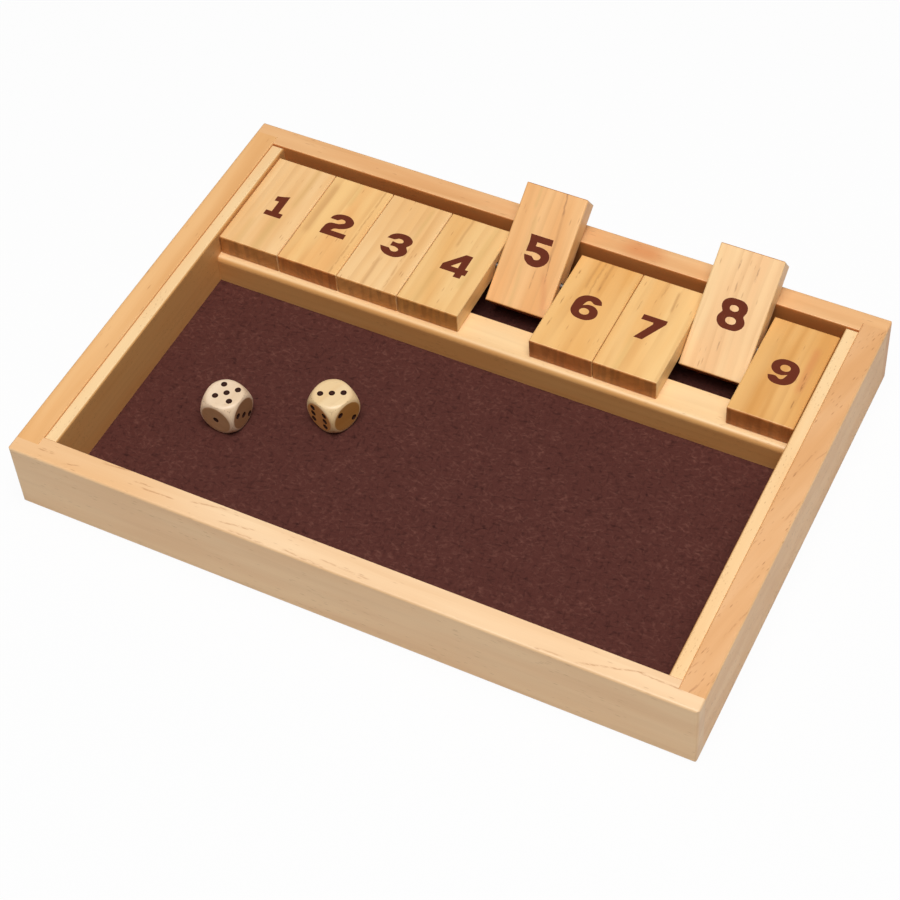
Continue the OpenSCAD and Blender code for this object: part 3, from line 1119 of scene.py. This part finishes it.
TILE_LOOKS = (
    TileLook(ONE, (250, 206, 148), (240, 187, 124), (44.0, -26.0), (
        Streak(17.0, 3.4, 0.4, -8.0, 18.0, tone=OLIVE),
        Streak(8.0, 2.6, 0.25, -8.0, 13.0, tone=OLIVE),
        Streak(20.0, 2.6, 0.3, 30.0, 67.0, tone=OLIVE),
    ), (217, 182, 142)),
    TileLook(TWO, (249, 202, 134), (241, 181, 112), (-16.0, -36.0), (
        Streak(3.5, 3.0, 0.3, 20.0, 45.0, tone=(176, 116, 62)),
        Streak(24.6, 0.8, 0.45, sway=0.3),
        Streak(13.5, 2.0, 0.3, 40.0, 67.0, tone=OLIVE),
    ), (210, 163, 122)),
    TileLook(THREE, (248, 205, 147), (241, 189, 125), (50.0, -32.0), (
        Streak(20.0, 1.6, 0.35, 33.0, 49.0, tone=OLIVE),
        Streak(12.0, 1.2, 0.3, -8.0, 15.0),
        Streak(21.0, 0.9, 0.35, 3.0, 25.0),
    ), (222, 186, 142)),
    TileLook(FOUR, (244, 199, 134), (236, 181, 111), (46.0, -22.0), (
        Streak(10.0, 1.1, 0.35, 37.0, 67.0),
        Streak(21.5, 2.6, 0.3, 17.0, 67.0, tone=OLIVE),
        Streak(8.0, 3.0, 0.25, -8.0, 17.0, tone=OLIVE),
    ), (222, 189, 144)),
    TileLook(FIVE, (243, 189, 125), (235, 172, 104), (-30.0, -26.0), (
        Streak(18.7, 0.8, 0.55, -8.0, 8.0, slope=0.1, bend=6.0, tone=UMBER),
        Streak(19.2, 1.0, 0.3, 9.0, 30.0, slope=0.06),
        Streak(18.2, 0.45, 0.6, 28.0, 37.0, slope=0.1, sway=0.2, tone=UMBER),
        Streak(8.99, 2.4, 0.35, 37.0, 67.0, slope=0.33, tone=RUSSET),
        Streak(8.35, 1.6, 0.3, 15.0, 67.0, slope=0.05, tone=OLIVE),
        Streak(7.0, 1.3, 0.35, -8.0, 8.0, tone=OLIVE),
        Streak(16.5, 0.4, 0.5, 36.0, 41.0, sway=0.2, tone=UMBER),
    )),
    TileLook(SIX, (242, 190, 120), (231, 168, 90), (-12.0, -40.0), (
        Streak(18.0, 9.0, 0.4, tone=(232, 166, 88)),
        Streak(9.0, 1.1, 0.35, 37.0, 67.0),
        Streak(11.6, 0.9, 0.4, 34.0, 67.0),
        Streak(14.6, 1.1, 0.35, 37.0, 67.0),
        *veins(
            UMBER, 0.1,
            (3.3, 0.6, 0.7, 41.0, 42.5), (3.2, 0.5, 0.6, 25.0, 26.5), (3.4, 0.5, 0.6, 12.0, 13.5),
        ),
    ), (208, 162, 132)),
    TileLook(SEVEN, (247, 201, 134), (239, 183, 112), (42.0, -34.0), (
        Streak(11.5, 0.9, 0.4, 45.0, 67.0),
        Streak(20.22, 1.0, 0.45, 39.0, 47.0, slope=-0.06),
        Streak(5.2, 0.5, 0.5, 34.0, 37.0, sway=0.2, tone=UMBER),
        Streak(9.5, 2.4, 0.3, -8.0, 19.0, tone=OLIVE),
    )),
    TileLook(EIGHT, (245, 204, 146), (240, 190, 131), (-44.0, -26.0), veins(
        UMBER, 0.1,
        (10.5, 0.5, 0.6, 6.0, 7.5), (18.6, 0.6, 0.6, 7.0, 10.0), (12.0, 0.45, 0.5, 15.0, 16.5),
        (13.2, 0.5, 0.5, 38.5, 41.0),
    )),
    TileLook(NINE, (235, 181, 110), (223, 160, 85), (-18.0, -34.0), (
        Streak(8.5, 2.2, 0.4, tone=HONEY),
        Streak(14.0, 1.6, 0.4, tone=HONEY),
        Streak(22.4, 3.0, 0.45, 21.0, 40.0, tone=RUSSET),
        *veins(
            UMBER, 0.1,
            (22.5, 0.5, 0.6, 26.0, 27.5), (23.2, 0.7, 0.7, 21.0, 22.5),
            (23.0, 0.5, 0.6, 11.0, 12.5),
        ),
    ), (214, 174, 144)),
)


@dataclass
class TileRow:
    """The nine tiles: their wood, and a numeral on both faces of each.

    Streaks and rings are placed from a lying tile's lower left corner at its front end. A
    numeral stands a little proud of the wood and is sunk a little into it.
    """

    looks: Sequence[TileLook] = TILE_LOOKS
    stand: float = 0.03 * MM
    sink: float = 0.02 * MM
    smoothness: int = 10

    def build(self) -> None:
        """Dresses the tiles and prints their numerals."""
        low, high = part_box("tile_1")
        half = (high - low) / 2
        for number, look in enumerate(self.looks, start=1):
            node = f"tile_{number}"
            middle, flip = self._stance(node, low, high)
            grain = Grain(corner=tuple(middle @ -half), lean=flip)
            dress(node, look.wood().material(f"{node}_wood", grain, number, look.streaks))
            ink = Print().material(f"{node}_print", grain, number)
            for face, side in (("top", 0.0), ("under", math.pi)):
                piece = self._numeral(f"{node}_numeral_{face}", look.numeral)
                up = Matrix.Rotation(side, 4, "X") @ Matrix.Translation((0, 0, half.z))
                carry(piece, middle @ up)
                piece.data.materials.append(ink)
                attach(piece, f"{node}_body")
                log.info("%s printed", piece.name)

    @staticmethod
    def _stance(node: str, low: Vector, high: Vector) -> tuple[Matrix, float]:
        """Gives how a tile stands at rest, lying or flipped up.

        Args:
            node: The tile's name.
            low: The lowest corner of a lying tile.
            high: The highest corner of a lying tile.

        Returns:
            The move that takes a tile from the origin to its place, and its flip in radians.
        """
        joint = next(j for j in frame["joints"] if j["child"] == f"{node}_body")
        axis = Vector(joint["pos_m"])
        axis.x = (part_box(node)[0].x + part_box(node)[1].x) / 2
        flip = math.radians(-min(joint["range_deg"]))
        turn = Matrix.Rotation(-flip, 4, "X")
        inward = Vector((0.0, (low.y + high.y) / 2 - axis.y, (low.z + high.z) / 2 - axis.z))
        return Matrix.Translation(axis) @ turn @ Matrix.Translation(inward), flip

    def _numeral(self, name: str, outlines: Sequence[Outline]) -> bpy.types.Object:
        """Makes a numeral as a thin closed mesh that faces up.

        Args:
            name: The piece's name.
            outlines: The outer outline, and any holes.

        Returns:
            The piece, with its middle at the origin.
        """
        curve = bpy.data.curves.new(name, "CURVE")
        curve.dimensions = "2D"
        curve.fill_mode = "BOTH"
        curve.extrude = (self.stand + self.sink) / 2
        curve.resolution_u = self.smoothness
        for outline in outlines:
            spline = curve.splines.new("BEZIER")
            spline.bezier_points.add(len(outline) - 1)
            spline.use_cyclic_u = True
            for knot, (x, y, bend) in zip(spline.bezier_points, outline):
                knot.co = (x * MM, y * MM, 0.0)
                knot.handle_left_type = bend.value
                knot.handle_right_type = bend.value
        piece = bpy.data.objects.new(name, curve)
        bpy.context.scene.collection.objects.link(piece)
        pick(piece)
        bpy.ops.object.convert(target="MESH")
        heal(piece, self.stand / 10)
        carry(piece, Matrix.Translation((0, 0, (self.stand - self.sink) / 2)))
        return piece


class Side(Enum):
    """The side of a die that a face lies on, as the turn that brings an upward face there."""

    UP = (0.0, 0.0)
    DOWN = (180.0, 0.0)
    AHEAD = (90.0, 0.0)
    BEHIND = (90.0, 180.0)
    RIGHT = (90.0, 90.0)
    LEFT = (90.0, -90.0)

    def turn(self) -> Matrix:
        """Gives the turn as a matrix."""
        tip, swing = (math.radians(a) for a in self.value)
        return Matrix.Rotation(swing, 4, "Z") @ Matrix.Rotation(tip, 4, "X")


@dataclass(frozen=True)
class Face:
    """One face of a die: its side, its pips, and how they are turned and set off on it.

    The turn is in degrees and the drift in millimetres.
    """

    side: Side
    count: int
    turn: float = 0.0
    drift: tuple[float, float] = (0.0, 0.0)


@dataclass
class Die:
    """One die: a turned ball with six flats, and a drilled cup for each pip.

    The heading, the crease and the overlap, by which each sixth runs past the ball's corner
    before it is cut, are in degrees.
    """

    node: str
    heading: float
    faces: Sequence[Face]
    wood: Wood
    seed: int
    ball: float = 21.7 * MM
    pip: float = 2.6 * MM
    pip_depth: float = 0.8 * MM
    pitch: float = 6.65 * MM
    rim: float = 2.6 * MM
    flat_shares: Sequence[float] = (0.0, 0.35, 0.7, 0.92)
    rim_steps: int = 6
    ball_steps: int = 8
    overlap: float = 1.5
    steps: int = 96
    weld: float = 0.002 * MM
    cup_segments: int = 32
    cup_rings: int = 20
    crease: float = 32.0
    paint: Colour = (48, 20, 10)
    faded: Colour = (70, 34, 20)
    patch: float = 0.5
    paint_relief: float = 0.04 * MM

    def build(self) -> None:
        """Turns the die, drills it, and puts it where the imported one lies."""
        low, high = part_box(self.node)
        width, middle = high.z - low.z, (low + high) / 2
        body = self._body(width)
        cutter = self._cutter(width)
        grain = Grain(corner=tuple(middle), heading=self.heading, blunt=False)
        body.data.materials.append(self.wood.material(f"{self.node}_wood", grain, self.seed))
        cutter.data.materials.append(self._pip_paint())
        finish_with(
            body, "BOOLEAN", object=cutter, operation="DIFFERENCE", solver="EXACT",
            material_mode="TRANSFER",
        )
        bpy.data.objects.remove(cutter)
        turn = Matrix.Rotation(math.radians(self.heading), 4, "Z")
        carry(body, Matrix.Translation(middle) @ turn)
        smooth(body, self.crease)
        body.name = f"{self.node}_turned"
        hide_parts(self.node)
        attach(body, f"{self.node}_body")
        log.info("%s turned, with %d pips", self.node, sum(f.count for f in self.faces))

    def _profile(self, half: float) -> Sequence[Vector]:
        """Gives the line from a face's middle, over its rounded rim and down the ball.

        Args:
            half: Half the width over two flats.

        Returns:
            Points in the XZ plane. The last lies a little past the ball's corner.
        """
        radius = self.ball / 2
        drop = half - self.rim
        reach = math.sqrt((radius - self.rim) ** 2 - drop**2)
        leave = math.atan2(reach, drop)
        corner = math.atan(math.sqrt(2)) + math.radians(self.overlap)
        flat = [Vector((reach * share, 0, half)) for share in self.flat_shares]
        rim = [
            Vector((reach + self.rim * math.sin(a), 0, drop + self.rim * math.cos(a)))
            for a in (leave * i / self.rim_steps for i in range(self.rim_steps + 1))
        ]
        far = corner - leave
        ball = [
            Vector((radius * math.sin(a), 0, radius * math.cos(a)))
            for a in (leave + far * i / self.ball_steps for i in range(1, self.ball_steps + 1))
        ]
        return flat + rim + ball

    def _body(self, width: float) -> bpy.types.Object:
        """Spins one face with its share of the ball, cuts it to a sixth and joins six of them.

        Args:
            width: The width over two flats.

        Returns:
            The die without its pips, with its middle at the origin.
        """
        line = self._profile(width / 2)
        pick_none()
        bpy.ops.mesh.primitive_plane_add(size=width, location=line[0])
        sector = bpy.context.object
        settle(sector)
        bpy.ops.object.mode_set(mode="EDIT")
        bpy.ops.mesh.select_all(action="SELECT")
        bpy.ops.mesh.merge(type="CENTER")
        for start, end in zip(line, line[1:]):
            bpy.ops.mesh.extrude_vertices_move(TRANSFORM_OT_translate={"value": tuple(end - start)})
        bpy.ops.mesh.select_all(action="SELECT")
        bpy.ops.mesh.spin(steps=self.steps, angle=2 * math.pi, center=(0, 0, 0), axis=(0, 0, 1))
        for cut in ((1, 0, -1), (-1, 0, -1), (0, 1, -1), (0, -1, -1)):
            bpy.ops.mesh.select_all(action="SELECT")
            bpy.ops.mesh.bisect(plane_co=(0, 0, 0), plane_no=cut, clear_outer=True)
        bpy.ops.object.mode_set(mode="OBJECT")
        sectors = [repeat(sector, side.turn()) for side in Side]
        bpy.data.objects.remove(sector)
        pick(*sectors)
        bpy.ops.object.join()
        heal(sectors[0], self.weld)
        return sectors[0]

    def _pips(self, count: int) -> Sequence[tuple[float, float]]:
        """Gives where a face's pips lie.

        Args:
            count: How many there are.

        Returns:
            Their places from the face's middle.
        """
        step = self.pitch / 2
        spots = [(0.0, 0.0)] if count % 2 else []
        if count > 1:
            spots += [(-step, -step), (step, step)]
        if count > 3:
            spots += [(-step, step), (step, -step)]
        if count == 6:
            spots += [(-step, 0.0), (step, 0.0)]
        return spots

    def _cutter(self, width: float) -> bpy.types.Object:
        """Makes the balls that drill the pips.

        Args:
            width: The width over two flats.

        Returns:
            All the balls as one object.
        """
        radius = ((self.pip / 2) ** 2 + self.pip_depth**2) / (2 * self.pip_depth)
        lift = width / 2 + radius - self.pip_depth
        pick_none()
        bpy.ops.mesh.primitive_uv_sphere_add(
            segments=self.cup_segments, ring_count=self.cup_rings, radius=radius
        )
        model = bpy.context.object
        balls = []
        for face in self.faces:
            twist = Matrix.Rotation(math.radians(face.turn), 4, "Z")
            off = Vector((face.drift[0] * MM, face.drift[1] * MM, lift))
            for x, y in self._pips(face.count):
                spot = face.side.turn() @ Matrix.Translation(off)
                balls.append(repeat(model, spot @ twist @ Matrix.Translation((x, y, 0.0))))
        bpy.data.objects.remove(model)
        pick(*balls)
        bpy.ops.object.join()
        bpy.ops.object.shade_smooth()
        return bpy.context.object

    def _pip_paint(self) -> bpy.types.Material:
        """Makes the dark paint in the pips.

        Returns:
            The material.
        """
        made, board = new_material(f"{self.node}_pip_paint")
        patch = board.noise(board.here(), (self.patch,) * 3)
        worn = patch.rise(0.45, 0.75)
        board.surface({
            "Base Color": board.mix(worn, linear(self.paint), linear(self.faded)),
            "Roughness": 0.6 + patch * 0.2,
            "Specular IOR Level": 0.2,
            "Normal": board.bump(patch, self.paint_relief),
        })
        return made


DIE_WOOD = Wood(
    pale=(240, 214, 184), deep=(232, 202, 168), ring=2.4, ring_depth=0.12, heart=(-20.0, -30.0),
    # Painted shade on the die's left and right flats, which the light from above misses.
    flecks=0.1, fleck_size=(0.9, 3.0), fleck_depth=0.2, side_painted_shading=(180, 150, 124),
    end_tone=(211, 187, 162), end_lines=0.05, roughness=0.38,
)

LEFT_DIE = Die("left_die", -2.9, (
    Face(Side.UP, 5, drift=(0.6, 0.7)), Face(Side.DOWN, 2), Face(Side.AHEAD, 1),
    Face(Side.BEHIND, 6), Face(Side.RIGHT, 3, 96.0, (0.1, -1.1)), Face(Side.LEFT, 4),
), DIE_WOOD, 13)

RIGHT_DIE = Die("right_die", -18.4, (
    Face(Side.UP, 3), Face(Side.DOWN, 4), Face(Side.AHEAD, 6),
    Face(Side.BEHIND, 1), Face(Side.RIGHT, 2, 90.0), Face(Side.LEFT, 5),
), replace(
    # Painted shade on its left and right flats too.
    DIE_WOOD, pale=(240, 210, 164), deep=(234, 198, 144), side_painted_shading=(205, 168, 116),
    end_tone=(238, 196, 152),
), 17)


def main() -> None:
    """Builds the room and dresses the game, piece by piece."""
    logging.basicConfig(level=logging.INFO, format="%(message)s")
    Studio().build()
    Box().build()
    dress("hinge_rod", Steel().material("rod_steel_drawn"))
    Felt().build()
    TileRow().build()
    LEFT_DIE.build()
    RIGHT_DIE.build()


if __name__ == "__main__":
    main()
